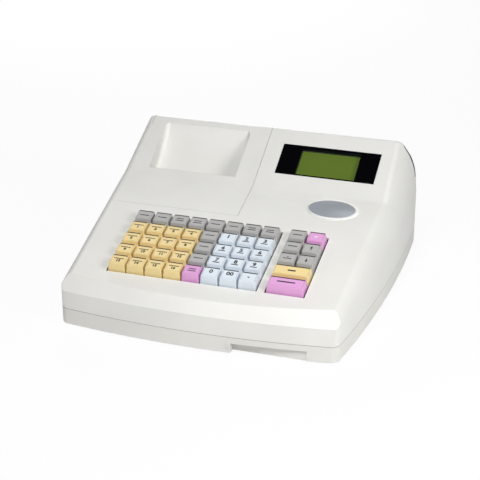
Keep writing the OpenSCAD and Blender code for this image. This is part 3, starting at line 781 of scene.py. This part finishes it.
def frameInto(bm, outer, inner, low, high):
    # eight blocks round the opening, merged into one shell
    x0, x1, v0, v1 = outer
    a0, a1, b0, b1 = inner
    start = set(bm.faces)
    for part in ((x0, a0, v0, b0), (a0, a1, v0, b0), (a1, x1, v0, b0), (x0, a0, b0, b1),
                 (a1, x1, b0, b1), (x0, a0, b1, v1), (a0, a1, b1, v1), (a1, x1, b1, v1)):
        boxInto(bm, *part, low, high)
    made = [f for f in bm.faces if f not in start]
    bmesh.ops.remove_doubles(bm, verts=list({v for f in made for v in f.verts}), dist=0.01 * mm)
    seen = {}
    for face in bm.faces:
        if face in start:
            continue
        seen.setdefault(tuple(round(c, 6) for c in face.calc_center_median()), []).append(face)
    double = [f for group in seen.values() if len(group) > 1 for f in group]
    bmesh.ops.delete(bm, geom=double, context="FACES")


def buildDisplayWindow():
    s = displaySettings
    x0, x1, v0, v1 = s["window"]
    out = s["flange"]
    inner = s["opening"]
    level = s["faceLevel"]
    low, high = s["flangeLevels"]
    bm = bmesh.new()
    frameInto(bm, (x0, x1, v0, v1), inner, high, level)
    frameInto(bm, (x0 - out, x1 + out, v0 - out, v1 + out), inner, low, high - s["flangeGap"])
    bmesh.ops.dissolve_limit(bm, angle_limit=0.01, verts=bm.verts, edges=bm.edges)
    bmesh.ops.transform(bm, matrix=hoodFrame, verts=bm.verts)
    border = addPiece("displayWindow", bm, "windowBlack", "housing", ["display_window"])
    roundEdges(border, s["borderRound"], 2)


def buildPane(name, finish, under, levels):
    # a flat block behind the opening, wider than it by what goes under the border
    a0, a1, b0, b1 = displaySettings["opening"]
    sides, ends = under
    bm = bmesh.new()
    boxInto(bm, a0 - sides, a1 + sides, b0 - ends, b1 + ends, *levels)
    bmesh.ops.transform(bm, matrix=hoodFrame, verts=bm.verts)
    addPiece(name, bm, finish, "housing", ())


buildDisplayWindow()
buildPane("displayPane", "clearPane", (0, 0), displaySettings["paneLevels"])
buildPane("displayGlass", "liquidCrystal", displaySettings["glassUnder"],
          displaySettings["glassLevels"])
print("display ready")


# badge, left bare
badgeSettings = {
    "centre": (92.5, -23.53),
    "outer": (27.0, 17.5),
    "inner": (24.3, 14.2),
    "innerShift": -1.2,
    "steps": 96,
    # share of the way in from the rim, height
    "rim": [(0.0, 0.0), (0.0, 0.55), (0.10, 0.95), (0.26, 1.15), (0.50, 1.2), (0.74, 1.15), (0.86, 1.0),
            (1.0, 0.72)],
}


def buildBadge():
    s = badgeSettings
    bm = bmesh.new()
    loops = []
    for share, height in s["rim"]:
        radiusX, radiusY = (o + (i - o) * share for o, i in zip(s["outer"], s["inner"]))
        loop = []
        for step in range(s["steps"]):
            turn = 2 * math.pi * step / s["steps"]
            x = math.cos(turn) * radiusX + s["innerShift"] * share
            loop.append(bm.verts.new(spot(x, math.sin(turn) * radiusY, height)))
        loops.append(loop)
    # the last band before the plate takes the dark finish: painted shade between the ring and the plate
    for low, high in zip(loops, loops[1:]):
        for face in bridge(bm, low, high):
            face.material_index = 2 if high is loops[-1] else 0
    bm.faces.new(list(reversed(loops[0])))
    plate = bm.faces.new(loops[-1])
    plate.material_index = 1
    place = deckFrame @ Matrix.Translation(spot(*s["centre"], 0))
    bmesh.ops.transform(bm, matrix=place, verts=bm.verts)
    piece = addPiece("ovalBadge", bm, ["badgeRing", "badgePlate", "lidJointAndBadgeShade"], "housing", ["badge"])
    smoothShade(piece, 50)


buildBadge()


# screws below
screwSettings = {
    "places": [(-128, -116), (128, -116), (-142, 15), (142, 15), (-138, 138), (138, 138)],
    "level": 8.2,
    "headRadius": 3.3,
    "headDepth": 2.0,
    "segments": 24,
    "rimRound": 0.5,
    # half length, half width and depth of the cross slots, and their turns
    "slot": (1.7, 0.3, 0.05),
    "turns": (20, 110),
}


def buildScrews():
    s = screwSettings
    radius = s["headRadius"] * mm
    slotLong, slotWide, slotDeep = s["slot"]
    bm = bmesh.new()
    for x, y in s["places"]:
        head = bmesh.ops.create_cone(bm, cap_ends=True, segments=s["segments"], radius1=radius,
                                     radius2=radius, depth=s["headDepth"] * mm)["verts"]
        bmesh.ops.translate(bm, verts=head, vec=spot(x, y, s["level"] + s["headDepth"] / 2))
        rim = [e for e in bm.edges if e.verts[0] in head and e.verts[1] in head
               and max(v.co.z for v in e.verts) < (s["level"] + 0.1) * mm]
        bmesh.ops.bevel(bm, geom=rim, offset=s["rimRound"] * mm, segments=2, profile=0.5,
                        affect="EDGES", material=-1)
        for turn in s["turns"]:
            slot = boxInto(bm, -slotLong, slotLong, -slotWide, slotWide, -slotDeep, 0)
            bmesh.ops.rotate(bm, verts=slot, matrix=Matrix.Rotation(math.radians(turn), 3, "Z"))
            bmesh.ops.translate(bm, verts=slot, vec=spot(x, y, s["level"]))
    piece = addPiece("baseScrews", bm, "screwSteel", "housing")
    smoothShade(piece, 40)


buildScrews()
print("badge and screws ready")


# receipt printer and feed roller: the solids' own shapes, with each face in its own finish
rollerSettings = {
    # Y and Z of the axis
    "axis": (47.5, 58),
    "shaftRadius": 2.55,
    "sleeveStart": -104,
    "finishes": ["rollerRubber", "screwSteel", "bushBlack"],
}
printerSettings = {
    # lowest Z, front and rear Y
    "tearBar": (64.3, 37, 49.5),
    "platesAtX": (-104, -39),
    "plateThick": 2.02,
    "finishes": ["printerSteel", "screwSteel", "printerBlack"],
}


def rollerFinish(x, y, z):
    s = rollerSettings
    fromAxis = math.hypot(y - s["axis"][0], z - s["axis"][1])
    if fromAxis < s["shaftRadius"]:
        return 1
    return 0 if x > s["sleeveStart"] else 2


def printerFinish(x, y, z):
    s = printerSettings
    low, front, rear = s["tearBar"]
    first, last = s["platesAtX"]
    if z > low and front <= y <= rear and first < x < last + s["plateThick"]:
        return 1
    inPlate = any(start - 0.01 <= x <= start + s["plateThick"] for start in s["platesAtX"])
    return 0 if inPlate else 2


def paintedCopy(node, name, settings, choose):
    bm = bmesh.new()
    bm.from_mesh(nodes[node].data)
    for face in bm.faces:
        face.material_index = choose(*(face.calc_center_median() / mm))
    piece = addPiece(name, bm, settings["finishes"], bodyOf.get(node, "housing"), [node])
    smoothShade(piece)
    evenNormals(piece)


paintedCopy("platen_roller", "feedRoller", rollerSettings, rollerFinish)
paintedCopy("printer_frame", "receiptPrinter", printerSettings, printerFinish)
print("printer ready")


# pieces that keep their own solids
keptSettings = {
    # the key frame's near black is its own colour and also painted shade in the gaps between the keys
    "key_frame": "keyFrameGrey",
    "display_unit": "printerBlack",
}
for node, finish in keptSettings.items():
    for materialSlot in nodes[node].material_slots:
        materialSlot.material = finishes[finish]
print("inner pieces finished")
